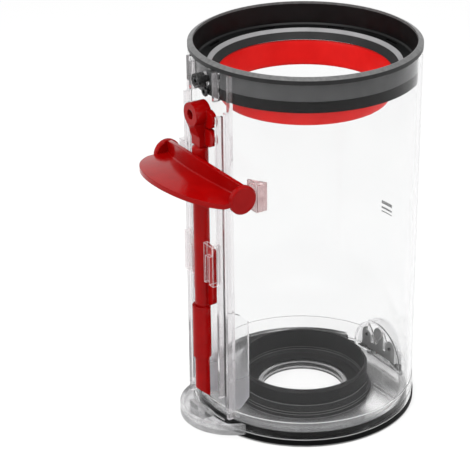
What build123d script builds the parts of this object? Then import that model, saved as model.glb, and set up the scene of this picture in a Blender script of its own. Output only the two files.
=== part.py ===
from build123d import *
from math import radians, sin, sqrt
import os

# Cyclone dust bin of a stick vacuum cleaner, in millimetres.
# +Z is up, the cylinder stands on the XY plane with its axis on Z.
# The spine with the release rod faces -Y, the hinge of the base flap faces +Y.
# On the spine side a "reach" is a distance from the axis, so y = -reach.

# Driving sizes: clear bin
bin_height = 200.4
wall_outer_radius = 58.4
wall_thickness = 2.2
wall_band_stand = 0.3
wall_band_height = 10.5
seat_clearance = 0.1        # between pieces that are pushed into one another
moving_clearance = 0.4      # between pieces that move past one another
base_clearance = 0.2        # between the base seal and the wall that stands on it

# Driving sizes: top collar and what it carries
rim_overhang = 0.1
rim_chamfer_width = 2.2
rim_chamfer_height = 1.2
rim_land = 0.5
rim_lip_height = 2.1
collar_taper = 0.8
collar_foot = 0.8
collar_depth = 12.2
ledge_drop = 12.0
ledge_thickness = 2.4
ledge_width = 5.2
slot_count = 9
slot_inset = 2.0
slot_width = 1.6
slot_sweep = 10.0
slot_first_angle = 2.5
band_seal_height = 5.8
band_seal_thickness = 0.9
lip_seal_flange = 1.6
lip_seal_flange_thickness = 1.2
lip_seal_bead = 2.3
lip_seal_bead_drop = 1.4
lip_seal_overhang = 5.4
lip_seal_wall = 1.6
lip_seal_depth = 4.6
wiper_thickness = 1.8
wiper_taper = 2.6
wiper_height = 13.2
wiper_bulge = 0.9

# Driving sizes: base flap
flap_rim_overhang = 0.8
flap_rim_height = 3.3
flap_floor_thickness = 2.2
flap_floor_bottom = 1.0
flap_ring_gap = 1.2
flap_ring_thickness = 2.4
flap_ring_height = 5.2
rim_seal_lip_thickness = 0.5
rim_seal_lip_height = 3.3
port_radius = 22.0
port_lip_thickness = 2.0
port_lip_height = 1.0
cuff_step = 10.1
cuff_wall = 1.6
cuff_floor_thickness = 2.0
cuff_height = 15.6
cuff_bead = 0.7
cuff_skirt = 2.8
cuff_skirt_ledge = 0.6
cuff_skirt_height = 7.2
foot_radius = 27.0
foot_overreach = 13.3
foot_wall = 2.0
foot_bottom = 2.6
foot_floor_thickness = 2.0
foot_wall_height = 3.8
bridge_half_width = 8.8

# Driving sizes: hinge at the back of the base
hinge_pin_radius = 1.5
hinge_pin_height = 7.0
hinge_pin_inset = 0.9
hinge_pin_chamfer = 0.3
hinge_running_fit = 0.05
knuckle_radius = 3.1
knuckle_width = 4.6
knuckle_pitch = 5.6
knuckle_heel = 1.9
knuckle_toe = 2.8
knuckle_rise = 0.6
pocket_radius = 19.0
pocket_wall = 1.8
pocket_depth = 6.6
pocket_leg = 0.5
hinge_gap_margin = 5.0
bracket_thickness = 1.8
bracket_drop = 1.0
lobe_radius = 4.2
lobe_pitch = 10.6
middle_lobe_height = 15.6
side_lobe_height = 12.0
bracket_screw_head_radius = 1.7
bracket_screw_head_height = 1.0
bracket_screw_radius = 0.9

# Driving sizes: spine
rail_half_span = 19.1
rail_thickness = 2.2
rail_stand = 1.0
rail_gap = 1.2
rail_step_height = 18.0
rail_step = 2.0
guide_thickness = 1.8
guide_stand = 2.4
guide_bottom = 20.0
guide_drop = 25.1
upper_guide_half_span = 9.4
upper_guide_drop = 17.6
fin_offset = 10.0
fin_thickness = 1.8
fin_depth = 16.6
fin_height = 59.2
fin_gap = 1.2
fin_head_drop = 5.0
fin_corner = 5.0
screw_boss_radius = 3.6
screw_boss_drop = 9.4
screw_boss_stand = 5.8
screw_head_radius = 2.5
screw_head_height = 2.2
screw_radius = 1.4
lower_screw_drop = 6.6
screw_edge_ratio = 0.4
screw_drive_sides = 6
screw_drive_ratio = 0.5
screw_drive_depth_ratio = 0.6
stop_start = 27.2
stop_end = 35.5
stop_below = 9.0
stop_above = 6.0
stop_wall = 1.6

# Driving sizes: release rod and its pieces
rod_radius = 4.1
rod_gap = 0.5
rod_flat_depth = 3.15
rod_edge = 1.5
rod_top_drop = 42.7
rod_travel = 8.0
spigot_radius = 3.0
spigot_height = 7.3
tenon_radius = 1.6
tenon_height = 6.0
ear_thickness = 2.6
ear_height = 31.7
ear_lift = 1.1
ear_corner = 5.0
bracket_above = 4.2
bracket_below = 14.1
bracket_lip = 2.2
bracket_overlap = 4.3
bracket_bar = 6.5
bracket_leg = 1.6
spring_wire_radius = 0.3
spring_wire_sides = 8
spring_radius = 1.55
spring_turns = 9
spring_lift = 6.0
spring_length = 24.0
spring_nub_height = 3.0
groove_width = 4.6
groove_depth = 4.3
plunger_offset = 0.9
sleeve_radius = 4.75
sleeve_edge = 0.3
stem_radius = 3.8
plunger_top = 70.0
plunger_step = 40.6
plunger_tip = 15.4
plunger_tip_rise = 6.8
head_boss_radius = 5.9
head_boss_drop = 26.0
head_face_stand = 5.45
head_chin = 4.7
head_plate_thickness = 2.6
head_half_span = 11.0
head_ear_radius = 4.5
head_ear_gap = 9.6
head_ear_drop = 28.0
head_neck_width = 7.4
head_screw_radius = 1.5
head_screw_head_radius = 2.4
head_screw_head_height = 1.8
head_screw_sink = 2.6

# Driving sizes: release handle
handle_drop = 59.8
drum_radius = 7.4
drum_start = 33.4
drum_end = 36.6
drum_stand = 2.0
drum_edge = 0.8
plate_rise = 4.5
plate_end_rise = 0.4
plate_thickness = 2.6
plate_depth = 28.8
plate_half_span = 38.5
web_thickness = 2.0
web_groove = 0.55
web_rise = 12.9
web_end_rise = 6.8
web_fillet = 0.6

# Sizes worked out from those above: bin and collar
wall_inner_radius = wall_outer_radius - wall_thickness
wall_middle_radius = wall_outer_radius - wall_thickness / 2
wall_bottom = flap_rim_height + base_clearance
wall_band_top = wall_bottom + wall_band_height
rim_radius = wall_outer_radius + rim_overhang
rim_face_radius = rim_radius - rim_chamfer_width
rim_inner_radius = rim_face_radius - rim_land
collar_foot_radius = rim_inner_radius - collar_taper
collar_floor_radius = collar_foot_radius - collar_foot
ledge_inner_radius = collar_floor_radius - ledge_width
slot_radius = collar_floor_radius - slot_inset
lip_bottom = bin_height - rim_chamfer_height - rim_lip_height
wall_top = lip_bottom - seat_clearance
spigot_ring_radius = wall_inner_radius - seat_clearance
collar_bottom = bin_height - collar_depth
ledge_top = bin_height - ledge_drop
ledge_bottom = ledge_top - ledge_thickness
band_inner_radius = spigot_ring_radius - band_seal_thickness
band_bottom = collar_bottom - band_seal_height
lip_seal_inner_radius = ledge_inner_radius - lip_seal_overhang
wiper_top = ledge_top - lip_seal_depth
wiper_bottom = wiper_top - wiper_height
wiper_bottom_radius = lip_seal_inner_radius - wiper_taper

# Sizes worked out: base flap and hinge
floor_top = flap_floor_bottom + flap_floor_thickness
flap_rim_radius = wall_outer_radius + flap_rim_overhang
flap_ring_outer_radius = wall_inner_radius - flap_ring_gap
flap_ring_inner_radius = flap_ring_outer_radius - flap_ring_thickness
flap_ring_top = floor_top + flap_ring_height
rim_seal_lip_top = flap_rim_height + rim_seal_lip_height
port_lip_top = floor_top + port_lip_height
cuff_seat_radius = port_radius + port_lip_thickness + seat_clearance
cuff_outer_radius = cuff_seat_radius + cuff_step
cuff_top = floor_top + cuff_height
foot_floor_top = foot_bottom + foot_floor_thickness
foot_wall_top = foot_floor_top + foot_wall_height
foot_centre = flap_rim_radius + foot_overreach - foot_radius
hinge_pin_offset = wall_outer_radius - hinge_pin_inset
pocket_back = wall_outer_radius - pocket_depth
pocket_spring_height = wall_bottom + pocket_leg
bracket_y = pocket_back + bracket_thickness
bracket_bottom = hinge_pin_height - bracket_drop
bracket_screw_height = bracket_bottom + side_lobe_height - lobe_radius

# Sizes worked out: spine
rail_reach = wall_outer_radius + rail_stand
rail_bottom = foot_wall_top + rail_gap
guide_half_span = head_half_span + moving_clearance
guide_reach = wall_outer_radius + guide_stand
guide_top = bin_height - guide_drop
upper_guide_bottom = bin_height - upper_guide_drop
fin_reach = wall_outer_radius - fin_depth
fin_bottom = flap_ring_top + fin_gap
fin_top = fin_bottom + fin_height
screw_boss_height = bin_height - screw_boss_drop
screw_boss_reach = wall_outer_radius + screw_boss_stand
lower_screw_height = screw_boss_height - lower_screw_drop

# Sizes worked out: release rod and handle
rod_flat_reach = wall_outer_radius + rod_gap
rod_axis_reach = rod_flat_reach + rod_flat_depth
rod_front_reach = rod_axis_reach + rod_radius
rod_top = bin_height - rod_top_drop
rod_bottom = plunger_top - spigot_height
ear_half_span = guide_half_span - guide_thickness - moving_clearance
ear_bottom = plunger_top + ear_lift
ear_top = ear_bottom + ear_height
ear_front_reach = rod_flat_reach + ear_thickness
spring_bottom = ear_top + spring_lift
groove_top = spring_bottom + spring_length
groove_reach = rod_flat_reach + groove_depth
nub_bottom = spring_bottom - spring_nub_height
plunger_axis_reach = rod_axis_reach + plunger_offset
stem_front_reach = plunger_axis_reach + stem_radius
head_boss_height = bin_height - head_boss_drop
head_face_reach = rod_axis_reach + head_face_stand
head_upper_ear = bin_height - head_ear_drop
drum_height = bin_height - handle_drop
drum_reach = wall_outer_radius + drum_stand
web_inner_reach = rod_front_reach - web_groove


def depth_at(radius, x):
    """Distance along Y from the XZ plane to a circle of this radius, at x."""
    return sqrt(radius**2 - x**2)


def block(x0, x1, y0, y1, z0, z1):
    centre = Pos((x0 + x1) / 2, (y0 + y1) / 2, (z0 + z1) / 2)
    return centre * Box(x1 - x0, y1 - y0, z1 - z0)


def spine_block(x0, x1, reach0, reach1, z0, z1):
    return block(x0, x1, -reach1, -reach0, z0, z1)


def disc(radius, z0, z1, x=0, y=0):
    return Pos(x, y, (z0 + z1) / 2) * Cylinder(radius, z1 - z0)


def tube(outer, inner, z0, z1, x=0, y=0):
    return disc(outer, z0, z1, x, y) - disc(inner, z0, z1, x, y)


def bar_x(radius, x0, x1, y, z):
    """Round bar along X."""
    return Pos((x0 + x1) / 2, y, z) * Rot(0, 90, 0) * Cylinder(radius, x1 - x0)


def bar_y(radius, y0, y1, x, z):
    """Round bar along Y."""
    return Pos(x, (y0 + y1) / 2, z) * Rot(90, 0, 0) * Cylinder(radius, y1 - y0)


def turned(points):
    """Solid of revolution about Z from (radius, height) points."""
    return revolve(Plane.XZ * make_face(Polyline(points, close=True)), Axis.Z)


def side_plate(points, x0, x1):
    """Plate of constant thickness along X from (y, z) points."""
    outline = make_face(Polyline(points, close=True))
    return Pos(x0, 0, 0) * extrude(Plane.YZ * outline, amount=x1 - x0)


def both_sides(solid):
    return solid + mirror(solid, Plane.YZ)


# Top collar: rim, spigot inside the clear wall and slotted ledge
def make_top_collar():
    collar = turned([
        (rim_inner_radius, bin_height),
        (rim_face_radius, bin_height),
        (rim_radius, bin_height - rim_chamfer_height),
        (rim_radius, lip_bottom),
        (spigot_ring_radius, lip_bottom),
        (spigot_ring_radius, collar_bottom),
        (band_inner_radius, collar_bottom),
        (band_inner_radius, band_bottom),
        (band_inner_radius - wall_thickness, band_bottom),
        (band_inner_radius - wall_thickness, ledge_bottom),
        (ledge_inner_radius, ledge_bottom),
        (ledge_inner_radius, ledge_top),
        (collar_floor_radius, ledge_top),
        (collar_foot_radius, ledge_top + collar_foot),
    ])
    slot_ring = tube(
        slot_radius + slot_width / 2, slot_radius - slot_width / 2,
        ledge_top - ledge_thickness / 2, ledge_top + 1,
    )
    wedge = make_face(Polyline([
        (0, 0),
        (bin_height, 0),
        (bin_height, bin_height * sin(radians(slot_sweep))),
    ], close=True))
    slot = slot_ring & extrude(Pos(0, 0, ledge_bottom) * wedge, amount=2 * ledge_thickness)
    for index in range(slot_count):
        collar -= Rot(0, 0, slot_first_angle + index * 360 / slot_count) * slot
    for height in (screw_boss_height, lower_screw_height):
        collar -= bar_y(screw_radius, -rim_radius, -collar_floor_radius + wall_thickness, 0, height)
    return collar


def make_collar_band_seal():
    seal = tube(
        spigot_ring_radius, band_inner_radius + seat_clearance,
        band_bottom, collar_bottom - seat_clearance,
    )
    hole = screw_radius + seat_clearance
    return seal - bar_y(hole, -rim_radius, -ledge_inner_radius, 0, lower_screw_height)


def make_lip_seal():
    """Grey seal in the ledge: a slanted bead, a cone down to the wiper and a flange below the ledge."""
    seat = ledge_inner_radius - seat_clearance
    bead_radius = ledge_inner_radius - lip_seal_bead
    flange_radius = ledge_inner_radius + lip_seal_flange
    flange_top = ledge_bottom - seat_clearance
    flange_bottom = flange_top - lip_seal_flange_thickness
    return turned([
        (seat, ledge_top),
        (bead_radius, ledge_top - lip_seal_bead_drop),
        (lip_seal_inner_radius, wiper_top),
        (lip_seal_inner_radius + lip_seal_wall, wiper_top),
        (bead_radius, flange_bottom),
        (flange_radius, flange_bottom),
        (flange_radius, flange_top),
        (seat, flange_top),
    ])


def make_shroud_wiper():
    """Red wiper: a thin funnel with a slight waist, whose free lower edge rubs the shroud."""
    waist = (lip_seal_inner_radius + wiper_bottom_radius) / 2 + wiper_bulge
    half_height = (wiper_top + wiper_bottom) / 2
    return turned([
        (wiper_bottom_radius, wiper_bottom),
        (waist, half_height),
        (lip_seal_inner_radius, wiper_top),
        (lip_seal_inner_radius + wiper_thickness, wiper_top),
        (waist + wiper_thickness, half_height),
        (wiper_bottom_radius + wiper_thickness / 2, wiper_bottom),
    ])


# Clear bin body: wall, spine, fins, handle stops and hinge pocket in one moulding
def arch(radius, y0, y1):
    """Half-round arch on straight legs, run along Y."""
    top = bar_y(radius, y0, y1, 0, pocket_spring_height)
    legs = block(-radius, radius, y0, y1, wall_bottom, pocket_spring_height)
    below = block(-2 * radius, 2 * radius, y0 - 1, y1 + 1, -2 * radius, wall_bottom)
    return top + legs - below


def spine_rails():
    middle = rail_half_span - rail_thickness / 2
    root = depth_at(wall_middle_radius, middle)
    step_bottom = wall_top - rail_step_height
    inner_face = rail_half_span - rail_thickness
    rail = spine_block(inner_face, rail_half_span, root, rail_reach, rail_bottom, step_bottom)
    upper = spine_block(
        inner_face, rail_half_span, root, rail_reach - rail_step, step_bottom, wall_top,
    )
    return both_sides(rail + upper)


def rod_guides():
    root = depth_at(wall_middle_radius, guide_half_span + guide_thickness / 2)
    lower = spine_block(
        guide_half_span, guide_half_span + guide_thickness,
        root, guide_reach, guide_bottom, guide_top,
    )
    upper = spine_block(
        upper_guide_half_span, upper_guide_half_span + guide_thickness,
        root, guide_reach, upper_guide_bottom, wall_top,
    )
    return both_sides(lower + upper)


def dust_fins():
    """Two fins inside the wall, with a slanted head and a cut lower corner."""
    fin = side_plate([
        (-depth_at(wall_middle_radius, fin_offset), fin_top),
        (-fin_reach - fin_corner, fin_top - fin_head_drop),
        (-fin_reach, fin_top - 2 * fin_head_drop),
        (-fin_reach, fin_bottom + fin_corner),
        (-fin_reach - fin_corner, fin_bottom),
        (-depth_at(wall_middle_radius, fin_offset), fin_bottom),
    ], fin_offset, fin_offset + fin_thickness)
    return both_sides(fin)


def handle_stops():
    """Hollow blocks on the wall behind the two drums of the handle."""
    face = drum_reach - drum_radius - moving_clearance
    root = depth_at(wall_middle_radius, stop_end)
    bottom = drum_height - stop_below
    top = drum_height + stop_above
    stop = spine_block(stop_start, stop_end, root, face, bottom, top)
    hollow = spine_block(
        stop_start + stop_wall, stop_end - stop_wall,
        root - 1, face - stop_wall, bottom - 1, top - stop_wall,
    )
    return both_sides(stop - hollow - disc(wall_middle_radius, bottom - 1, top + 1))


def spring_nub():
    """Peg on the wall that holds up the lower end of the return spring."""
    half = groove_width / 2 - moving_clearance
    tip = groove_reach - moving_clearance
    return spine_block(-half, half, wall_middle_radius, tip, nub_bottom, spring_bottom)


def wall_band():
    """Low band round the foot of the wall, with a bevelled upper edge."""
    band_radius = wall_outer_radius + wall_band_stand
    return turned([
        (wall_middle_radius, wall_bottom),
        (band_radius, wall_bottom),
        (band_radius, wall_band_top - wall_band_stand),
        (wall_outer_radius, wall_band_top),
        (wall_middle_radius, wall_band_top),
    ])


def make_bin_body():
    body = tube(wall_outer_radius, wall_inner_radius, wall_bottom, wall_top)
    body += wall_band()
    body += spine_rails()
    body += rod_guides()
    body += dust_fins()
    body += handle_stops()
    body += spring_nub()
    body += bar_y(screw_boss_radius, -screw_boss_reach, -wall_middle_radius, 0, screw_boss_height)
    pocket = arch(pocket_radius + pocket_wall, pocket_back - pocket_wall, wall_outer_radius)
    body += pocket & disc(wall_outer_radius, wall_bottom, bin_height)
    body -= arch(pocket_radius, pocket_back, 2 * wall_outer_radius)
    head_seat = screw_boss_reach - screw_head_height
    body -= bar_y(screw_head_radius, -2 * rim_radius, -head_seat, 0, screw_boss_height)
    body -= bar_y(screw_radius, -head_seat, -collar_floor_radius, 0, screw_boss_height)
    body -= bar_y(screw_radius, -rim_radius, -collar_floor_radius, 0, lower_screw_height)
    for side in (-1, 1):
        body -= bar_y(
            bracket_screw_radius, pocket_back - pocket_wall - 1, pocket_back + 1,
            side * lobe_pitch, bracket_screw_height,
        )
    return body


def round_head_screw(radius, length, head_radius, head_height):
    """Screw along +Y from its head, which lies at negative y and has a six-sided socket."""
    head = bar_y(head_radius, -head_height, 0, 0, 0)
    bevelled = chamfer(head.edges().sort_by(Axis.Y)[:1], head_height * screw_edge_ratio)
    outline = RegularPolygon(head_radius * screw_drive_ratio, screw_drive_sides)
    drive = extrude(outline, amount=head_height * screw_drive_depth_ratio, both=True)
    socket = Pos(0, -head_height, 0) * Rot(90, 0, 0) * drive
    return bevelled + bar_y(radius, 0, length, 0, 0) - socket


def make_spine_screws():
    """Upper screw in the boss, lower one flat on the wall, both into the collar."""
    upper_seat = -(screw_boss_reach - screw_head_height)
    upper = Pos(0, upper_seat, screw_boss_height) * round_head_screw(
        screw_radius, -upper_seat - collar_foot_radius - 2 * seat_clearance,
        screw_head_radius - seat_clearance, screw_head_height,
    )
    lower_seat = -wall_outer_radius
    lower = Pos(0, lower_seat, lower_screw_height) * round_head_screw(
        screw_radius, wall_outer_radius - collar_floor_radius - seat_clearance,
        screw_head_radius, screw_head_height / 2,
    )
    return upper, lower


# Base flap: floor with port, upright ring, foot under the spine and hinge arms
def hinge_gap():
    """Space in the upright rings for the hinge pocket of the bin body."""
    half = pocket_radius + pocket_wall + hinge_gap_margin
    return block(-half, half, 0, 2 * flap_rim_radius, floor_top, bin_height)


def hinge_arms():
    arms = None
    for side in (-1, 1):
        x0 = side * knuckle_pitch - knuckle_width / 2 + moving_clearance
        x1 = side * knuckle_pitch + knuckle_width / 2 - moving_clearance
        eye = bar_x(knuckle_radius, x0, x1, hinge_pin_offset, hinge_pin_height)
        foot = side_plate([
            (flap_ring_inner_radius, floor_top),
            (hinge_pin_offset - knuckle_heel, hinge_pin_height + knuckle_rise),
            (hinge_pin_offset + knuckle_toe, hinge_pin_height),
            (hinge_pin_offset, flap_floor_bottom),
            (flap_ring_inner_radius, flap_floor_bottom),
        ], x0, x1)
        arm = eye + foot
        arms = arm if arms is None else arms + arm
    return arms


def foot_tray():
    """Rounded foot under the spine, a shallow tray with a low outer wall."""
    tray = disc(foot_radius, foot_bottom, foot_wall_top, 0, -foot_centre)
    tray -= disc(foot_radius - foot_wall, foot_floor_top, foot_wall_top + 1, 0, -foot_centre)
    return tray - disc(flap_rim_radius + seat_clearance, -1, foot_wall_top + 1)


def catch_ramp():
    """Ramp on the foot that the slanted tip of the plunger meets."""
    low = plunger_tip - rod_travel - moving_clearance
    high = low + plunger_tip_rise
    return side_plate([
        (-rod_flat_reach, low),
        (-stem_front_reach, high),
        (-stem_front_reach - foot_wall, high),
        (-stem_front_reach - foot_wall, foot_bottom),
        (-rod_flat_reach, foot_bottom),
    ], -stem_radius, stem_radius)


def make_base_flap():
    flap = disc(flap_ring_outer_radius, flap_floor_bottom, floor_top)
    ring = tube(flap_ring_outer_radius, flap_ring_inner_radius, floor_top, flap_ring_top)
    flap += ring - hinge_gap()
    flap += tube(port_radius + port_lip_thickness, port_radius, 0, port_lip_top)
    flap += foot_tray() + catch_ramp()
    bridge = spine_block(
        -bridge_half_width, bridge_half_width, flap_ring_inner_radius, flap_rim_radius + foot_wall,
        flap_floor_bottom, floor_top,
    )
    flap += bridge
    flap += hinge_arms()
    flap -= disc(port_radius, -1, port_lip_top + 1)
    bore = hinge_pin_radius + hinge_running_fit
    return flap - bar_x(bore, -pocket_radius, pocket_radius, hinge_pin_offset, hinge_pin_height)


def make_base_rim_seal():
    inner = flap_ring_outer_radius + seat_clearance
    seal = tube(flap_rim_radius, inner, 0, flap_rim_height)
    lip = tube(inner + rim_seal_lip_thickness, inner, flap_rim_height, rim_seal_lip_top)
    seal += lip - hinge_gap()
    half = bridge_half_width + seat_clearance
    seal -= spine_block(-half, half, 0, 2 * flap_rim_radius, -1, flap_rim_height + 1)
    arms_half = knuckle_pitch + knuckle_width / 2
    return seal - block(-arms_half, arms_half, 0, 2 * flap_rim_radius, -1, flap_rim_height + 1)


def make_port_cuff():
    """Black cup that seals round the inlet duct, with a flared skirt and a bead at its lip."""
    inner = cuff_outer_radius - cuff_wall
    shelf = floor_top + cuff_floor_thickness
    return turned([
        (cuff_seat_radius, floor_top),
        (cuff_outer_radius + cuff_skirt, floor_top),
        (cuff_outer_radius + cuff_skirt_ledge, floor_top + cuff_skirt_height),
        (cuff_outer_radius, floor_top + cuff_skirt_height),
        (cuff_outer_radius, cuff_top - cuff_wall),
        (cuff_outer_radius - cuff_bead, cuff_top),
        (inner, cuff_top),
        (inner, shelf + cuff_wall),
        (inner - cuff_wall, shelf),
        (cuff_seat_radius, shelf),
    ])


# Hinge bracket: dark plate with three lobes and three cheeks round the pin
def make_hinge_bracket():
    half_width = lobe_pitch + lobe_radius
    shoulder = bracket_bottom + lobe_radius
    plate = block(-half_width, half_width, pocket_back, bracket_y, bracket_bottom, shoulder)
    tops = {-1: side_lobe_height, 0: middle_lobe_height, 1: side_lobe_height}
    for side, height in tops.items():
        centre = side * lobe_pitch
        lobe_top = bracket_bottom + height - lobe_radius
        lobe = bar_y(lobe_radius, pocket_back, bracket_y, centre, lobe_top)
        neck = block(
            centre - lobe_radius, centre + lobe_radius, pocket_back, bracket_y,
            bracket_bottom, lobe_top,
        )
        plate += lobe + neck
    for side in (-1, 0, 1):
        x0 = 2 * side * knuckle_pitch - knuckle_width / 2 - moving_clearance
        x1 = 2 * side * knuckle_pitch + knuckle_width / 2 + moving_clearance
        eye = bar_x(knuckle_radius, x0, x1, hinge_pin_offset, hinge_pin_height)
        top = hinge_pin_height + knuckle_radius
        arm = block(x0, x1, pocket_back, hinge_pin_offset, bracket_bottom, top)
        plate += eye + arm
    bore = hinge_pin_radius
    plate -= bar_x(bore, -pocket_radius, pocket_radius, hinge_pin_offset, hinge_pin_height)
    for side in (-1, 1):
        plate -= bar_y(
            bracket_screw_radius, pocket_back - 1, bracket_y + 1,
            side * lobe_pitch, bracket_screw_height,
        )
    return plate


def make_hinge_pin():
    half = 2 * knuckle_pitch + knuckle_width / 2 + moving_clearance
    pin = bar_x(hinge_pin_radius, -half, half, hinge_pin_offset, hinge_pin_height)
    ends = pin.edges().filter_by(GeomType.CIRCLE)
    return chamfer(ends, hinge_pin_chamfer)


def make_hinge_screws():
    length = bracket_thickness + pocket_wall
    screw = round_head_screw(
        bracket_screw_radius, length, bracket_screw_head_radius, bracket_screw_head_height,
    )
    turned_round = Rot(0, 0, 180) * screw
    places = (Pos(side * lobe_pitch, bracket_y, bracket_screw_height) for side in (-1, 1))
    return tuple(place * turned_round for place in places)


# Release rod, plunger, head, handle and spring
def flat_backed_bar(radius, axis_reach, z0, z1):
    """Upright round bar on the spine, with a flat back that clears the wall."""
    bar = disc(radius, z0, z1, 0, -axis_reach)
    return bar & spine_block(-radius, radius, rod_flat_reach, axis_reach + radius, z0, z1)


def make_release_rod():
    shoulder = rod_top - rod_edge
    rod = flat_backed_bar(rod_radius, rod_axis_reach, plunger_top, shoulder)
    cone = Cone(rod_radius, rod_radius - rod_edge, rod_edge)
    rod += Pos(0, -rod_axis_reach, shoulder + rod_edge / 2) * cone & flat_backed_bar(
        rod_radius, rod_axis_reach, shoulder, rod_top,
    )
    rod += disc(spigot_radius, rod_bottom, plunger_top, 0, -rod_axis_reach)
    rod += disc(tenon_radius, rod_top, rod_top + tenon_height, 0, -rod_axis_reach)
    straight_end = ear_bottom + ear_corner
    rod += spine_block(
        -ear_half_span, ear_half_span, rod_flat_reach, ear_front_reach, straight_end, ear_top,
    )
    for side in (-1, 1):
        centre = side * (ear_half_span - ear_corner)
        rod += bar_y(ear_corner, -ear_front_reach, -rod_flat_reach, centre, straight_end)
    return rod - spine_block(
        -groove_width / 2, groove_width / 2, rod_flat_reach - 1, groove_reach,
        nub_bottom - moving_clearance, groove_top,
    )


def make_catch_plunger():
    """Socket for the rod's spigot, then a slimmer stem with a slanted tip."""
    sleeve = flat_backed_bar(sleeve_radius, plunger_axis_reach, plunger_step, plunger_top)
    sleeve = chamfer(sleeve.edges().group_by(Axis.Z)[-1], sleeve_edge)
    stem = flat_backed_bar(stem_radius, plunger_axis_reach, plunger_tip, plunger_step)
    stem -= side_plate([
        (-rod_flat_reach, plunger_tip),
        (-stem_front_reach, plunger_tip + plunger_tip_rise),
        (-stem_front_reach, plunger_tip),
    ], -stem_radius, stem_radius)
    socket = disc(
        spigot_radius + seat_clearance, rod_bottom, plunger_top + 1, 0, -rod_axis_reach,
    )
    return sleeve + stem - socket


def make_rod_head():
    """Slider head: screw boss, neck down to the rod and two pairs of round ears."""
    half = head_neck_width / 2
    lower_ear = head_upper_ear - head_ear_gap
    head = bar_y(head_boss_radius, -head_face_reach, -rod_flat_reach, 0, head_boss_height)
    head += side_plate([
        (-rod_flat_reach, rod_top),
        (-rod_front_reach + rod_edge, rod_top),
        (-rod_front_reach + rod_edge, lower_ear),
        (-head_face_reach, head_boss_height - head_chin),
        (-head_face_reach, head_boss_height),
        (-rod_flat_reach, head_boss_height),
    ], -half, half)
    outer = rod_flat_reach + head_plate_thickness
    reach = head_half_span - head_ear_radius
    for height in (head_upper_ear, lower_ear):
        head += spine_block(
            -reach, reach, rod_flat_reach, outer,
            height - head_ear_radius, height + head_ear_radius,
        )
        for side in (-1, 1):
            head += bar_y(head_ear_radius, -outer, -rod_flat_reach, side * reach, height)
    fit = seat_clearance
    head -= disc(
        tenon_radius + fit, rod_top - 1, rod_top + tenon_height + fit, 0, -rod_axis_reach,
    )
    seat = head_face_reach - head_screw_sink
    head -= bar_y(
        head_screw_head_radius + fit, -head_face_reach - 1, -seat + head_screw_head_height,
        0, head_boss_height,
    )
    return head - bar_y(head_screw_radius, -seat, -rod_flat_reach, 0, head_boss_height)


def make_head_screw():
    seat = head_face_reach - head_screw_sink - head_screw_head_height
    screw = round_head_screw(
        head_screw_radius, seat - rod_flat_reach - seat_clearance,
        head_screw_head_radius, head_screw_head_height,
    )
    return Pos(0, -seat, head_boss_height) * screw


def crowned_slab(half_length, middle_bottom, end_bottom, middle_top, end_top):
    """Slab along Y, seen from the front as a strip between two arcs that rise to the middle."""
    lower = ThreePointArc((-half_length, end_bottom), (0, middle_bottom), (half_length, end_bottom))
    upper = ThreePointArc((half_length, end_top), (0, middle_top), (-half_length, end_top))
    ends = [Line(lower @ 1, upper @ 0), Line(upper @ 1, lower @ 0)]
    strip = make_face([lower, upper] + ends)
    return extrude(Plane.XZ * strip, amount=drum_reach + 2 * plate_depth)


def make_release_handle():
    """Crowned thumb plate, upright web behind it and a round disc at each end."""
    span = drum_start + drum_edge
    end = drum_end - drum_edge
    plate_top = drum_height + plate_rise
    plate_end_top = drum_height + plate_end_rise
    low = drum_height - drum_radius
    height = 2 * web_rise + drum_radius
    web_front = web_inner_reach + web_thickness
    inner = ThreePointArc(
        (-span, -drum_reach + web_thickness), (0, -web_inner_reach),
        (span, -drum_reach + web_thickness),
    )
    outer = ThreePointArc((span, -drum_reach), (0, -web_front), (-span, -drum_reach))
    sides = [Line(inner @ 1, outer @ 0), Line(outer @ 1, inner @ 0)]
    web = Pos(0, 0, low) * extrude(make_face([inner, outer] + sides), amount=height)
    web &= crowned_slab(
        span, plate_top - plate_thickness, plate_end_top - plate_thickness,
        drum_height + web_rise, drum_height + web_end_rise,
    )
    back = Polyline(inner @ 1, (span, 0), (-span, 0), inner @ 0)
    behind = Pos(0, 0, low) * extrude(make_face([inner, back]), amount=height)
    plate = Pos(0, -drum_reach, low) * extrude(Ellipse(plate_half_span, plate_depth), amount=height)
    plate &= spine_block(-end, end, drum_reach, drum_reach + plate_depth + 1, low, low + height)
    plate &= crowned_slab(
        end, plate_top - plate_thickness, plate_end_top - plate_thickness,
        plate_top, plate_end_top,
    )
    handle = plate - behind + web
    crease = handle.edges().sort_by_distance((0, -web_front, plate_top))[0]
    handle = fillet(crease, web_fillet)
    for side in (-1, 1):
        x0, x1 = sorted((side * drum_start, side * drum_end))
        drum = bar_x(drum_radius, x0, x1, -drum_reach, drum_height)
        handle += chamfer(drum.edges().filter_by(GeomType.CIRCLE), drum_edge)
    return handle - disc(rod_radius + seat_clearance, low, low + height, 0, -rod_axis_reach)


def make_rod_spring():
    """Coil spring between the peg on the wall and the top of the rod's groove."""
    height = spring_length - 2 * spring_wire_radius - 2 * seat_clearance
    coil = Helix(pitch=height / spring_turns, height=height, radius=spring_radius)
    wire = RegularPolygon(spring_wire_radius, spring_wire_sides)
    section = Plane(coil @ 0, z_dir=coil % 0) * wire
    reach = rod_flat_reach + groove_depth / 2
    lift = spring_bottom + spring_wire_radius + seat_clearance
    return Pos(0, -reach, lift) * sweep(section, path=coil)


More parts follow.
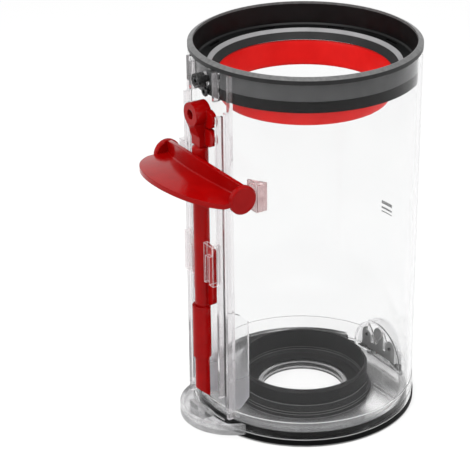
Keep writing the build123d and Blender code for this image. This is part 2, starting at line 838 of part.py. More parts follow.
def make_guide_bracket(side):
    """Clear clip over a rod guide: a bar with two legs that hold the rod's ear."""
    lip_inner = ear_front_reach + moving_clearance
    lip_outer = lip_inner + bracket_lip
    lip_start = ear_half_span - bracket_overlap
    post_start = guide_half_span - guide_thickness
    low = ear_bottom + bracket_below
    top = ear_top + bracket_above
    clip = spine_block(
        post_start, guide_half_span, guide_reach - bracket_lip, lip_outer, low, top,
    )
    clip += spine_block(
        guide_half_span, guide_half_span + guide_thickness, guide_reach, lip_outer, low, top,
    )
    clip += spine_block(lip_start, guide_half_span, lip_inner, lip_outer, low, top)
    clip -= spine_block(
        lip_start + bracket_leg, post_start, lip_inner - 1, lip_outer + 1, low - 1, top - bracket_bar,
    )
    return clip if side > 0 else mirror(clip, Plane.YZ)


def make_parts():
    return {
        "bin_body": make_bin_body(),
        "top_collar": make_top_collar(),
        "collar_band_seal": make_collar_band_seal(),
        "lip_seal": make_lip_seal(),
        "shroud_wiper": make_shroud_wiper(),
        "spine_screws": Compound(children=list(make_spine_screws())),
        "base_flap": make_base_flap(),
        "base_rim_seal": make_base_rim_seal(),
        "port_cuff": make_port_cuff(),
        "hinge_bracket": make_hinge_bracket(),
        "hinge_pin": make_hinge_pin(),
        "hinge_screws": Compound(children=list(make_hinge_screws())),
        "release_rod": make_release_rod(),
        "catch_plunger": make_catch_plunger(),
        "rod_head": make_rod_head(),
        "head_screw": make_head_screw(),
        "release_handle": make_release_handle(),
        "rod_spring": make_rod_spring(),
        "guide_bracket_right": make_guide_bracket(1),
        "guide_bracket_left": make_guide_bracket(-1),
    }


if __name__ == "__main__":
    os.makedirs("parts", exist_ok=True)
    for name, solid in make_parts().items():
        export_step(solid, f"parts/{name}.step")
        print(name, round(solid.volume, 1))
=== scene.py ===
# %% [markdown]
# The imported model of a dust bin is the fixed frame of this scene: every piece of it is already
# at its place and size, in metres. It is loaded first.

# %% Load the bin
import math

import bpy
from mathutils import Matrix, Vector


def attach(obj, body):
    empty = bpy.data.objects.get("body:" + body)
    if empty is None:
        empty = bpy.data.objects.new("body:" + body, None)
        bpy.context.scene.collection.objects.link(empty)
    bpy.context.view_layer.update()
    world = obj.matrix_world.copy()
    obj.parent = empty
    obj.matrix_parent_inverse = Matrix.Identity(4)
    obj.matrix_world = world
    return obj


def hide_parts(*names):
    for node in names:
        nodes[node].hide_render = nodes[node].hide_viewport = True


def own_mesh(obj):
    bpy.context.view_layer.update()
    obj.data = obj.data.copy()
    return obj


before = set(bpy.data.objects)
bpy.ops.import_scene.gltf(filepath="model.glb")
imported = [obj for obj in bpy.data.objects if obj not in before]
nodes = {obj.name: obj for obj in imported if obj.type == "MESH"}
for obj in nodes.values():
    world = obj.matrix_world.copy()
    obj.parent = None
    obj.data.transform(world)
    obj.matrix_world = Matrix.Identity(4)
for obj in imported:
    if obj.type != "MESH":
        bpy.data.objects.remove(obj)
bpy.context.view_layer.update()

MM = 0.001
scene = bpy.context.scene

# %% [markdown]
# A product photo like this one is taken with a long lens from a little above. A camera can be
# placed by coordinates, but a photographer thinks of the angle, the distance and the lens, so
# it is set by those. It is then panned and tilted a little, because the bin stands right of the
# middle of the frame. Turning the camera keeps the bin's perspective, which sliding it sideways
# would change.

# %% Camera
FRAME_PIXELS = 470
LENS_PIXELS = 1846.4
AIM_PIXEL = (303.69, 222.6)
AIM_HEIGHT = 98.8 * MM
CAMERA_TURN = math.radians(55)
CAMERA_RISE = math.radians(25.158)
CAMERA_ROLL = math.radians(0.444)
CAMERA_DISTANCE = 956.8 * MM
SENSOR_WIDTH = 36


def way_to(turn, rise):
    """The direction from the bin at a turn from its spine and a rise, both in radians."""
    return Vector((
        math.sin(turn) * math.cos(rise),
        -math.cos(turn) * math.cos(rise),
        math.sin(rise),
    ))


aim = Vector((0, 0, AIM_HEIGHT))
back = way_to(CAMERA_TURN, CAMERA_RISE)
right = Vector((math.cos(CAMERA_TURN), math.sin(CAMERA_TURN), 0))
pan = math.atan2(AIM_PIXEL[0] - FRAME_PIXELS / 2, LENS_PIXELS)
tilt = math.atan2(AIM_PIXEL[1] - FRAME_PIXELS / 2, LENS_PIXELS)
axes = Matrix((right, back.cross(right), back)).transposed()
panned = axes @ Matrix.Rotation(pan, 3, "Y") @ Matrix.Rotation(tilt, 3, "X")
turned = panned @ Matrix.Rotation(CAMERA_ROLL, 3, "Z")

bpy.ops.object.select_all(action="DESELECT")
bpy.ops.object.camera_add()
camera = bpy.context.object
camera.name = "photo_camera"
camera.data.sensor_width = SENSOR_WIDTH
camera.data.lens = LENS_PIXELS / FRAME_PIXELS * SENSOR_WIDTH
camera.matrix_world = Matrix.Translation(aim + back * CAMERA_DISTANCE) @ turned.to_4x4()
scene.camera = camera
print("camera lens", round(camera.data.lens, 1), "mm at", [round(v, 3) for v in camera.location])

# %% [markdown]
# The bin stands on a white sweep with a faint shadow. A solid white floor is the plain way to
# make one, but it would hide the base flap when it hangs open, so the floor is a veil: most of
# it lets the white surroundings through, and the rest is a matt white that catches the shadow.

# %% Floor
scene.view_settings.view_transform = "Standard"
FLOOR_SIZE = 8.0
FLOOR_DROP = 0.2 * MM
VEIL = 0.34

bpy.ops.object.select_all(action="DESELECT")
bpy.ops.mesh.primitive_plane_add(size=FLOOR_SIZE, location=(0, 0, -FLOOR_DROP))
floor = bpy.context.object
floor.name = "studio_floor"
sweep = bpy.data.materials.new("white_sweep")
sweep.use_nodes = True
tree = sweep.node_tree
tree.nodes.remove(tree.nodes["Principled BSDF"])
matt = tree.nodes.new("ShaderNodeBsdfDiffuse")
matt.inputs["Color"].default_value = (1, 1, 1, 1)
through = tree.nodes.new("ShaderNodeBsdfTransparent")
veil = tree.nodes.new("ShaderNodeMixShader")
veil.inputs["Fac"].default_value = VEIL
tree.links.new(through.outputs["BSDF"], veil.inputs[1])
tree.links.new(matt.outputs["BSDF"], veil.inputs[2])
tree.links.new(veil.outputs["Shader"], tree.nodes["Material Output"].inputs["Surface"])
floor.data.materials.append(sweep)
print("floor", FLOOR_SIZE, "m wide")

# %% [markdown]
# Around the bin everything is white. A plain white world would light the bin evenly from all
# sides and leave it flat. So only what the camera sees, directly, mirrored or through the clear
# plastic, is pure white. The light that this room sheds on the bin is set lower, and the soft
# boxes still shape it.

# %% White room
ROOM_LIGHT = 0.62

room = bpy.data.worlds.new("white_room")
room.use_nodes = True
scene.world = room
tree = room.node_tree
glow = tree.nodes["Background"]
glow.inputs["Color"].default_value = (1, 1, 1, 1)
path = tree.nodes.new("ShaderNodeLightPath")
seen = path.outputs["Is Camera Ray"]
for kind in ("Is Transmission Ray", "Is Glossy Ray"):
    larger = tree.nodes.new("ShaderNodeMath")
    larger.operation = "MAXIMUM"
    tree.links.new(seen, larger.inputs[0])
    tree.links.new(path.outputs[kind], larger.inputs[1])
    seen = larger.outputs["Value"]
level = tree.nodes.new("ShaderNodeMapRange")
level.inputs["To Min"].default_value = ROOM_LIGHT
level.inputs["To Max"].default_value = 1.0
tree.links.new(seen, level.inputs["Value"])
tree.links.new(level.outputs["Result"], glow.inputs["Strength"])
print("room light", ROOM_LIGHT)

# %% [markdown]
# Three soft boxes light the bin: a wide one overhead, which draws the bright edge round the
# collar, a tall one at the left for the rod and handle, and a narrow one at the right for the
# far edge of the wall. Point lamps would be simpler, but glossy plastic mirrors them as dots. A
# lamp with an area gives soft streaks and soft shadows, as in a studio.

# %% Soft boxes
def soft_box(name, turn, rise, distance, width, height, watts):
    """A lamp of that width and height that faces the bin from a turn and rise in degrees."""
    way = way_to(math.radians(turn), math.radians(rise))
    bpy.ops.object.select_all(action="DESELECT")
    bpy.ops.object.light_add(type="AREA", location=aim + way * distance)
    lamp = bpy.context.object
    lamp.name = name
    lamp.rotation_euler = way.to_track_quat("Z", "Y").to_euler()
    lamp.data.shape = "RECTANGLE"
    lamp.data.size = width
    lamp.data.size_y = height
    lamp.data.energy = watts


soft_box("overhead_box", turn=55, rise=84, distance=1.1, width=0.9, height=0.9, watts=7.0)
soft_box("left_box", turn=5, rise=32, distance=1.2, width=0.6, height=0.9, watts=6.0)
soft_box("right_box", turn=125, rise=22, distance=1.2, width=0.25, height=0.9, watts=3.0)

# %% [markdown]
# No moulded or rolled surface is quite even, so each finish has a grain: a noise that runs
# between two values of colour or roughness. A picture of the surface could give the same, but
# its size would depend on how it is wrapped on. A noise that reads Object coordinates has a true
# size in millimetres and stays put on the piece. These helpers make a material with a grain.

# %% Helpers for finishes
NOISE_LOW, NOISE_HIGH = 0.3, 0.7


def new_finish(name):
    """A new node material, with its tree, main shader and the piece's own coordinates."""
    material = bpy.data.materials.new(name)
    material.use_nodes = True
    tree = material.node_tree
    place = tree.nodes.new("ShaderNodeTexCoord").outputs["Object"]
    return material, tree, tree.nodes["Principled BSDF"], place


def grain(tree, place, size, detail=3.0):
    """A noise whose clumps are about size millimetres wide."""
    noise = tree.nodes.new("ShaderNodeTexNoise")
    noise.inputs["Scale"].default_value = 1 / (size * MM)
    noise.inputs["Detail"].default_value = detail
    tree.links.new(place, noise.inputs["Vector"])
    return noise.outputs["Fac"]


def spread(tree, source, low, high):
    """The middle of a noise stretched to run from low to high."""
    stretch = tree.nodes.new("ShaderNodeMapRange")
    stretch.inputs["From Min"].default_value = NOISE_LOW
    stretch.inputs["From Max"].default_value = NOISE_HIGH
    stretch.inputs["To Min"].default_value = low
    stretch.inputs["To Max"].default_value = high
    tree.links.new(source, stretch.inputs["Value"])
    return stretch.outputs["Result"]


def shade(tree, source, dark, light):
    """A colour that runs from dark to light with a noise."""
    ramp = tree.nodes.new("ShaderNodeValToRGB")
    stops = ((NOISE_LOW, dark), (NOISE_HIGH, light))
    for element, (position, colour) in zip(ramp.color_ramp.elements, stops):
        element.position = position
        element.color = (*colour, 1)
    tree.links.new(source, ramp.inputs["Fac"])
    return ramp.outputs["Color"]


def paint(tree, shader, tint, rough):
    """The shader takes its colour and its roughness from these."""
    tree.links.new(tint, shader.inputs["Base Color"])
    tree.links.new(rough, shader.inputs["Roughness"])


def dress(material, *names):
    """The material on these pieces of the bin."""
    for name in names:
        mesh = nodes[name].data
        mesh.materials.clear()
        mesh.materials.append(material)
    print(material.name, "on", ", ".join(names))


print("pieces to dress:", ", ".join(sorted(nodes)))

# %% [markdown]
# Pin and spring are bright zinc-plated steel, with fine marks from drawing. The screws are the
# blackened kind, and their drives look almost black. Marks could be cut as a bump, but on wire
# this thin a mottled colour and gloss show just as well, and one recipe serves both steels.

# %% Steels
def steel(name, dark, light):
    """A metal with drawing marks in its colour and its gloss."""
    material, tree, shader, place = new_finish(name)
    marks = grain(tree, place, size=0.8, detail=6)
    paint(tree, shader, shade(tree, marks, dark, light), spread(tree, marks, 0.18, 0.36))
    shader.inputs["Metallic"].default_value = 1.0
    return material


plated = steel("plated_steel", (0.52, 0.52, 0.54), (0.7, 0.7, 0.71))
blackened = steel("black_steel", (0.03, 0.03, 0.031), (0.06, 0.06, 0.061))
dress(plated, "hinge_pin", "rod_spring")
dress(blackened, "spine_screws", "hinge_screws", "head_screw")

# %% [markdown]
# The hinge bracket is light grey plastic with a fine matt texture from its mould. It lies in the
# shade of its pocket, so it looks mid grey from in front. The texture is far too small to model,
# so a bump tilts the light on it instead.

# %% Grey plastic
BUMP_STRENGTH = 0.5


def roughen(tree, shader, source, depth):
    """A bump that is depth millimetres deep."""
    bump = tree.nodes.new("ShaderNodeBump")
    bump.inputs["Strength"].default_value = BUMP_STRENGTH
    bump.inputs["Distance"].default_value = depth * MM
    tree.links.new(source, bump.inputs["Height"])
    tree.links.new(bump.outputs["Normal"], shader.inputs["Normal"])
    return bump


def grey_plastic():
    material, tree, shader, place = new_finish("grey_plastic")
    clouds = grain(tree, place, size=5)
    tint = shade(tree, clouds, (0.58, 0.58, 0.582), (0.68, 0.68, 0.682))
    paint(tree, shader, tint, spread(tree, clouds, 0.35, 0.5))
    roughen(tree, shader, grain(tree, place, size=0.4), depth=0.02)
    return material


dress(grey_plastic(), "hinge_bracket")

# %% [markdown]
# The rod, its head and plunger and the handle are red plastic with a soft gloss. Its colour
# is deep, and flow in the mould leaves it slightly cloudy. Moulded edges are never sharp: they
# catch a thin bright line. A bevel on the mesh would give it too, but these meshes stay as they
# are, so the shader rounds the normal near each edge.

# %% Red plastic
EDGE_ROUNDING = 0.6


def red_plastic():
    material, tree, shader, place = new_finish("red_plastic")
    tint = shade(tree, grain(tree, place, size=9), (0.28, 0.0008, 0.001), (0.33, 0.0015, 0.0015))
    paint(tree, shader, tint, spread(tree, grain(tree, place, size=3), 0.12, 0.2))
    shader.inputs["Specular IOR Level"].default_value = 0.115
    edges = tree.nodes.new("ShaderNodeBevel")
    edges.inputs["Radius"].default_value = EDGE_ROUNDING * MM
    bump = roughen(tree, shader, grain(tree, place, size=0.6), depth=0.01)
    tree.links.new(edges.outputs["Normal"], bump.inputs["Normal"])
    return material


dress(red_plastic(), "release_rod", "catch_plunger", "rod_head", "release_handle")

# %% [markdown]
# Rubber seals the bin at the collar's black band, the cuff round the port and the red wiper. Its
# skin is soft and matt with a fine grain. A material for each could be built node by node, but
# they differ only in colour and shine, so one recipe takes these as its arguments.

# %% Rubbers
RUBBER_BLACK = ((0.0012, 0.0012, 0.0013), (0.0025, 0.0025, 0.0027))
RUBBER_GRAIN = 0.5
RUBBER_BUMP = 0.02


def rubber_skin(tree, shader, place, tint, rough, gloss):
    """A soft skin of this tint, with a fine grain in its roughness and its bump."""
    fine = grain(tree, place, RUBBER_GRAIN)
    paint(tree, shader, tint, spread(tree, fine, *rough))
    shader.inputs["Specular IOR Level"].default_value = gloss
    roughen(tree, shader, fine, RUBBER_BUMP)


def rubber(name, dark, light, rough, gloss):
    """Rubber that runs between two colours and two values of roughness."""
    material, tree, shader, place = new_finish(name)
    tint = shade(tree, grain(tree, place, size=12), dark, light)
    rubber_skin(tree, shader, place, tint, rough, gloss)
    return material


black_skin = rubber("black_rubber", *RUBBER_BLACK, rough=(0.4, 0.55), gloss=0.08)
cuff_skin = rubber(
    "cuff_rubber", (0.014, 0.014, 0.0144), (0.02, 0.02, 0.0204), rough=(0.55, 0.7), gloss=0.2,
)
red_skin = rubber(
    "red_rubber", (0.66, 0.006, 0.005), (0.74, 0.01, 0.008), rough=(0.4, 0.5), gloss=0.15,
)
dress(black_skin, "collar_band_seal")
dress(cuff_skin, "port_cuff")
dress(red_skin, "shroud_wiper")

# %% [markdown]
# A mask is a value that is 1 inside a region and 0 outside it. It lets one material look
# different from place to place. Faces could get materials of their own instead, but the mesh
# would then have to be cut wherever the look changes, and no change could be soft. These masks
# read the piece's own coordinates, so their edges are given in millimetres.

# %% Masks by place
SHARP = 0.08


def along(tree, place, axis):
    """Distance along one of the bin's axes."""
    split = tree.nodes.new("ShaderNodeSeparateXYZ")
    tree.links.new(place, split.inputs["Vector"])
    return split.outputs[axis]


def beyond(tree, source, edge, blur=SHARP):
    """0 below an edge in millimetres and 1 above it, with a blur between."""
    step = tree.nodes.new("ShaderNodeMapRange")
    step.inputs["From Min"].default_value = (edge - blur) * MM
    step.inputs["From Max"].default_value = (edge + blur) * MM
    tree.links.new(source, step.inputs["Value"])
    return step.outputs["Result"]


def short_of(tree, source, edge, blur=SHARP):
    """1 below an edge in millimetres and 0 above it."""
    flip = tree.nodes.new("ShaderNodeMath")
    flip.operation = "SUBTRACT"
    flip.inputs[0].default_value = 1.0
    tree.links.new(beyond(tree, source, edge, blur), flip.inputs[1])
    return flip.outputs["Value"]


def choose(tree, mask, first, second):
    """The second colour where the mask is 1, the first elsewhere."""
    mix = tree.nodes.new("ShaderNodeMix")
    mix.data_type = "RGBA"
    tree.links.new(mask, mix.inputs["Factor"])
    tree.links.new(first, mix.inputs["A"])
    tree.links.new(second, mix.inputs["B"])
    return mix.outputs["Result"]


print("a mask's edge is blurred by", SHARP, "mm each way")

# %% [markdown]
# The ring that the bin stands on is black rubber too. Its lowest edge is a small bevel that
# catches the light as a thin pale line just above the floor, and this highlight is painted grey
# into the rubber. It could be a strip of its own, but a soft mask by height paints it and fades it out.

# %% Base seal
HIGHLIGHT_TOP, HIGHLIGHT_BLUR = 0.7, 0.15


def base_rubber():
    material, tree, shader, place = new_finish("base_rubber")
    clouds = grain(tree, place, size=8)
    skin = shade(tree, clouds, *RUBBER_BLACK)
    # painted highlight: the grey of the lowest edge stands in for light on its bevel
    lowest_highlight = shade(tree, clouds, (0.2, 0.2, 0.2), (0.28, 0.28, 0.28))
    lowest = short_of(tree, along(tree, place, "Z"), HIGHLIGHT_TOP, HIGHLIGHT_BLUR)
    tint = choose(tree, lowest, skin, lowest_highlight)
    rubber_skin(tree, shader, place, tint, rough=(0.45, 0.6), gloss=0.05)
    return material


dress(base_rubber(), "base_rim_seal")

# %% [markdown]
# The lip seal's slanted bead catches the light and shows as a pale ring under the collar, so it is
# painted grey as a highlight. Its cone, below the bead, lies in the dark, and painted shade makes
# the rubber there near black. As on the base seal, one rubber with a mask by height is simpler than two
# materials.

# %% Lip seal
BEAD_FOOT = 187.0


def lip_rubber():
    material, tree, shader, place = new_finish("lip_rubber")
    clouds = grain(tree, place, size=10)
    # painted highlight on the bead, painted shade on the cone below it
    bead_highlight = shade(tree, clouds, (0.24, 0.24, 0.245), (0.3, 0.3, 0.305))
    cone = shade(tree, clouds, (0.008, 0.008, 0.0085), (0.014, 0.014, 0.0145))
    tint = choose(tree, beyond(tree, along(tree, place, "Z"), BEAD_FOOT), cone, bead_highlight)
    rubber_skin(tree, shader, place, tint, rough=(0.45, 0.6), gloss=0.2)
    return material


dress(lip_rubber(), "lip_seal")

# %% [markdown]
# The collar is black plastic, and light and shade are painted into its faces: the inside wall is
# painted very dark as shade, the spigot behind the clear wall is painted lighter as a sheen, and
# the bevelled edge is painted pale as a highlight. Separate materials for these faces would need
# the mesh cut up, so one material tells them apart by their distance from the bin's axis and by their
# height.

# %% Collar plastic
RIM_OUTSIDE = 58.0
SPIGOT_OUTSIDE = 55.95
BEVEL_FOOT = 199.2


def axis_distance(tree, place, across=(1, 1, 0), height=0.0):
    """Distance from the bin's axis, or from a level axis at that height in millimetres."""
    lower = tree.nodes.new("ShaderNodeVectorMath")
    lower.operation = "SUBTRACT"
    lower.inputs[1].default_value = (0, 0, height * MM)
    tree.links.new(place, lower.inputs[0])
    flatten = tree.nodes.new("ShaderNodeVectorMath")
    flatten.operation = "MULTIPLY"
    flatten.inputs[1].default_value = across
    tree.links.new(lower.outputs["Vector"], flatten.inputs[0])
    length = tree.nodes.new("ShaderNodeVectorMath")
    length.operation = "LENGTH"
    tree.links.new(flatten.outputs["Vector"], length.inputs[0])
    return length.outputs["Value"]


def collar_plastic():
    material, tree, shader, place = new_finish("collar_plastic")
    clouds = grain(tree, place, size=6)
    # painted shade inside, painted sheen on the spigot, painted highlight on the bevel; the lip keeps
    # the plastic's own black
    inside = shade(tree, clouds, (0.0015, 0.0015, 0.0016), (0.003, 0.003, 0.0032))
    spigot_sheen = shade(tree, clouds, (0.05, 0.05, 0.051), (0.065, 0.065, 0.066))
    lip = shade(tree, clouds, (0.012, 0.012, 0.0125), (0.018, 0.018, 0.0185))
    bevel_highlight = shade(tree, grain(tree, place, size=2), (0.1, 0.1, 0.1), (0.15, 0.15, 0.15))
    radius = axis_distance(tree, place)
    tint = choose(tree, beyond(tree, radius, SPIGOT_OUTSIDE), inside, spigot_sheen)
    tint = choose(tree, beyond(tree, radius, RIM_OUTSIDE), tint, lip)
    tint = choose(tree, beyond(tree, along(tree, place, "Z"), BEVEL_FOOT), tint, bevel_highlight)
    paint(tree, shader, tint, spread(tree, clouds, 0.3, 0.42))
    shader.inputs["Specular IOR Level"].default_value = 0.2
    roughen(tree, shader, grain(tree, place, size=0.4), depth=0.02)
    return material


dress(collar_plastic(), "top_collar")

# %% [markdown]
# Some regions take two masks: where both hold, or the stretch between two edges. The lines along
# a piece's edges have no fixed place at all. They could be picked out by hand, but the shader can
# find them by itself, because near an edge a rounded normal departs from the true one.

# %% Masks of overlaps and edges
ON_FACE, ON_EDGE = 0.99, 0.9


def combine(tree, operation, first, second):
    """One mask from two, by a math operation such as MULTIPLY or MAXIMUM."""
    node = tree.nodes.new("ShaderNodeMath")
    node.operation = operation
    tree.links.new(first, node.inputs[0])
    tree.links.new(second, node.inputs[1])
    return node.outputs["Value"]


def both(tree, first, second):
    """1 where two masks are 1."""
    return combine(tree, "MULTIPLY", first, second)


def between(tree, source, low, high, blur=SHARP):
    """1 between two edges in millimetres and 0 outside them."""
    return both(tree, beyond(tree, source, low, blur), short_of(tree, source, high, blur))


def edge_mask(tree, width):
    """1 along the edges of a piece, about width millimetres wide, and 0 on its faces."""
    rounded = tree.nodes.new("ShaderNodeBevel")
    rounded.inputs["Radius"].default_value = width * MM
    flat = tree.nodes.new("ShaderNodeNewGeometry")
    agree = tree.nodes.new("ShaderNodeVectorMath")
    agree.operation = "DOT_PRODUCT"
    tree.links.new(rounded.outputs["Normal"], agree.inputs[0])
    tree.links.new(flat.outputs["True Normal"], agree.inputs[1])
    mask = tree.nodes.new("ShaderNodeMapRange")
    mask.inputs["From Min"].default_value = ON_FACE
    mask.inputs["From Max"].default_value = ON_EDGE
    tree.links.new(agree.outputs["Value"], mask.inputs["Value"])
    return mask.outputs["Result"]


print("an edge starts where the two normals agree by less than", ON_FACE)

# %% [markdown]
# The wall is one clear moulding, but it doesn't look the same all over. Rails and stops outside
# are greyer, because the plastic is thick there, and thin dark lines of painted shade along their
# edges stand in for the light that these edges bend. Fins inside are hazy towards their feet, and
# are painted greyer there as shade for the dark cuff and seal behind them. The low band has two
# pale edges, which are painted highlights, a grey hoop runs round the hinge pocket, and the screw's
# boss is painted dark for the black collar seen through it. Each could be split off as a mesh, but
# the moulding stays whole, so masks find them.

# %% Parts of the wall
WALL_INSIDE, WALL_OUTSIDE = 56.0, 58.5
RAILS_FROM, RAIL_EDGE = 58.8, 0.5
FIN_SHADE_HAZE_MIDDLE, FIN_SHADE_HAZE_REACH = 34.0, 20.0
BOSS_HALF, BOSS_FOOT = 4.2, 186.0
HOOP_HEIGHT, HOOP_FROM = 4.0, 49.5
HOOP_INSIDE, HOOP_OUTSIDE = 18.9, 21.0
BAND_FOOT, BAND_HEAD = (3.5, 4.0), (13.5, 14.0)


def wall_parts(tree, place):
    """A mask for each part of the wall, by its name."""
    side, depth, height = [along(tree, place, axis) for axis in "XYZ"]
    radius = axis_distance(tree, place)
    pocket_radius = axis_distance(tree, place, (1, 0, 1), HOOP_HEIGHT)
    band = beyond(tree, radius, WALL_OUTSIDE)
    rails = beyond(tree, radius, RAILS_FROM)
    inside = both(tree, short_of(tree, radius, WALL_INSIDE), short_of(tree, depth, 0))
    boss = both(tree, between(tree, side, -BOSS_HALF, BOSS_HALF), beyond(tree, height, BOSS_FOOT))
    hoop = between(tree, pocket_radius, HOOP_INSIDE, HOOP_OUTSIDE)
    foot, head = [between(tree, height, *edge) for edge in (BAND_FOOT, BAND_HEAD)]
    # the rail edges and fins carry painted shade, the boss is painted dark for the collar behind it, and
    # the band's edges are painted highlights
    return {
        "band": band,
        "rails": rails,
        "rail_edge_shade": both(tree, edge_mask(tree, RAIL_EDGE), rails),
        "fins": both(tree, inside, short_of(tree, height, FIN_SHADE_HAZE_MIDDLE, FIN_SHADE_HAZE_REACH)),
        "boss": both(tree, boss, rails),
        "hoop": both(tree, hoop, beyond(tree, depth, HOOP_FROM)),
        "band_edge_highlights": both(tree, combine(tree, "MAXIMUM", foot, head), band),
    }


print("the low band runs from", BAND_FOOT[0], "to", BAND_HEAD[1], "mm, rails from", RAILS_FROM, "mm out")

# %% [markdown]
# Clear plastic could be a see-through shader without thickness, which is quick. These pieces are
# solids with real ribs, so a glass-like shader is chosen, which bends the light at every rib and
# edge as the real ones do. It bends light less than real plastic, which keeps the many layers
# bright. Glass also casts a full shadow in Blender, so shadow rays are let straight through.

# %% Helpers for clear plastic
CLEAR_IOR = 1.2


def masked_value(tree, mask, off, on):
    """A value, or another where the mask is 1. The first may come from a node."""
    blend = tree.nodes.new("ShaderNodeMapRange")
    blend.inputs["To Max"].default_value = on
    if isinstance(off, float):
        blend.inputs["To Min"].default_value = off
    else:
        tree.links.new(off, blend.inputs["To Min"])
    tree.links.new(mask, blend.inputs["Value"])
    return blend.outputs["Result"]


def make_clear(tree, shader, clear, ior, lamp_share):
    """Glass-like where clear is 1. A share of the lamps' light goes through to what lies inside."""
    tree.links.new(clear, shader.inputs["Transmission Weight"])
    shader.inputs["IOR"].default_value = ior
    path = tree.nodes.new("ShaderNodeLightPath")
    through = tree.nodes.new("ShaderNodeBsdfTransparent")
    through.inputs["Color"].default_value = (lamp_share, lamp_share, lamp_share, 1)
    mix = tree.nodes.new("ShaderNodeMixShader")
    tree.links.new(path.outputs["Is Shadow Ray"], mix.inputs["Fac"])
    tree.links.new(shader.outputs["BSDF"], mix.inputs[1])
    tree.links.new(through.outputs["BSDF"], mix.inputs[2])
    tree.links.new(mix.outputs["Shader"], tree.nodes["Material Output"].inputs["Surface"])


print("clear plastic bends light by an index of", CLEAR_IOR)

# %% [markdown]
# The wall's plastic is glossy and almost without colour. Each part found above has its own tint,
# and some have their own roughness or clarity. One long chain of nodes could be written out, but
# tables keep the values in sight, and a loop lays one part over another, so that a later row
# covers an earlier one.

# %% Clear wall
WALL_TINT = ((0.934, 0.936, 0.937), (0.95, 0.951, 0.951))
# painted shade in the rail edge, fins and boss rows, painted highlights in the band edge row
PART_TINTS = (
    ("band", (0.84, 0.84, 0.84), (0.9, 0.9, 0.9)),
    ("rails", (0.85, 0.83, 0.84), (0.92, 0.9, 0.91)),
    ("rail_edge_shade", (0.4, 0.39, 0.4), (0.52, 0.51, 0.52)),
    ("fins", (0.55, 0.545, 0.57), (0.61, 0.605, 0.63)),
    ("boss", (0.1, 0.1, 0.1), (0.2, 0.2, 0.2)),
    ("hoop", (0.68, 0.68, 0.685), (0.78, 0.78, 0.785)),
    ("band_edge_highlights", (0.86, 0.86, 0.86), (0.92, 0.92, 0.92)),
)
WALL_ROUGHNESS = (0.0, 0.03)
PART_ROUGHNESS = (("rails", 0.1), ("fins", 0.4))
PART_CLARITY = (("rails", 0.88), ("fins", 0.62), ("band_edge_highlights", 0.45))


def wall_plastic():
    material, tree, shader, place = new_finish("clear_wall_plastic")
    clouds = grain(tree, place, size=30)
    parts = wall_parts(tree, place)
    tint = shade(tree, clouds, *WALL_TINT)
    for part, dark, light in PART_TINTS:
        tint = choose(tree, parts[part], tint, shade(tree, clouds, dark, light))
    rough = spread(tree, grain(tree, place, size=8), *WALL_ROUGHNESS)
    for part, value in PART_ROUGHNESS:
        rough = masked_value(tree, parts[part], rough, value)
    clear = 1.0
    for part, value in PART_CLARITY:
        clear = masked_value(tree, parts[part], clear, value)
    paint(tree, shader, tint, rough)
    make_clear(tree, shader, clear, CLEAR_IOR, lamp_share=0.95)
    return material


dress(wall_plastic(), "bin_body")

# %% [markdown]
# The flap is moulded of the same plastic, but it is thicker and scuffed. Its glossy floor mirrors
# the black cuff and the bright pocket: it is dark near the cuff and pale near the wall, with pale
# and dark strips across it on the hinge side, and its rounded foot under the spine is frosted.
# True mirror images through so many clear layers would take many more bounces of light, so masks
# paint these tones. Each strip has its two edges, its blur and its two greys.

# %% Clear flap
CUFF_SHADE_MIDDLE, CUFF_SHADE_REACH = 43.0, 7.0
CUFF_EDGE, CUFF_EDGE_BLUR = 38.0, 1.5
PORT_RIM = 30.0
FOOT_FROM = 59.4
FLOOR_STRIPS = (
    (13.0, 28.0, 4.0, 0.8, 0.9),
    (37.0, 44.0, 1.2, 0.2, 0.27),
    (45.0, 50.0, 0.6, 0.66, 0.8),
)
FLOOR_ROUGHNESS, FOOT_ROUGHNESS = (0.05, 0.12), 0.22
FLOOR_CLARITY, FOOT_CLARITY = 0.9, 0.8


def flap_plastic():
    material, tree, shader, place = new_finish("clear_flap_plastic")
    clouds = grain(tree, place, size=12)
    near = shade(tree, clouds, (0.07, 0.07, 0.072), (0.11, 0.11, 0.112))
    far = shade(tree, clouds, (0.46, 0.46, 0.465), (0.57, 0.57, 0.575))
    foot = shade(tree, grain(tree, place, size=4), (0.54, 0.54, 0.545), (0.82, 0.82, 0.825))
    radius = axis_distance(tree, place)
    frost = beyond(tree, radius, FOOT_FROM)
    around_cuff = beyond(tree, radius, CUFF_EDGE, CUFF_EDGE_BLUR)
    tint = choose(tree, beyond(tree, radius, CUFF_SHADE_MIDDLE, CUFF_SHADE_REACH), near, far)
    tint = choose(tree, short_of(tree, radius, PORT_RIM), tint, far)
    for low, high, blur, dark, light in FLOOR_STRIPS:
        strip = both(tree, between(tree, along(tree, place, "Y"), low, high, blur), around_cuff)
        tint = choose(tree, strip, tint, shade(tree, clouds, (dark,) * 3, (light,) * 3))
    tint = choose(tree, frost, tint, foot)
    rough = spread(tree, grain(tree, place, size=6), *FLOOR_ROUGHNESS)
    paint(tree, shader, tint, masked_value(tree, frost, rough, FOOT_ROUGHNESS))
    clear = masked_value(tree, frost, FLOOR_CLARITY, FOOT_CLARITY)
    make_clear(tree, shader, clear, CLEAR_IOR, lamp_share=0.85)
    return material


dress(flap_plastic(), "base_flap")

# %% [markdown]
# The small clips round the rod are clear too. Red light from the handle and rod runs through
# them, so they are painted a little pink for that light, and painted highlights draw their edges as pale
# lines.
# Glass alone would turn grey here, because a ray crosses many layers before it is through, so the
# clips are also partly open, by an alpha below 1 on their faces.

# %% Clear clips
EDGE_CLARITY = 0.15
CLIP_COAT = 0.5


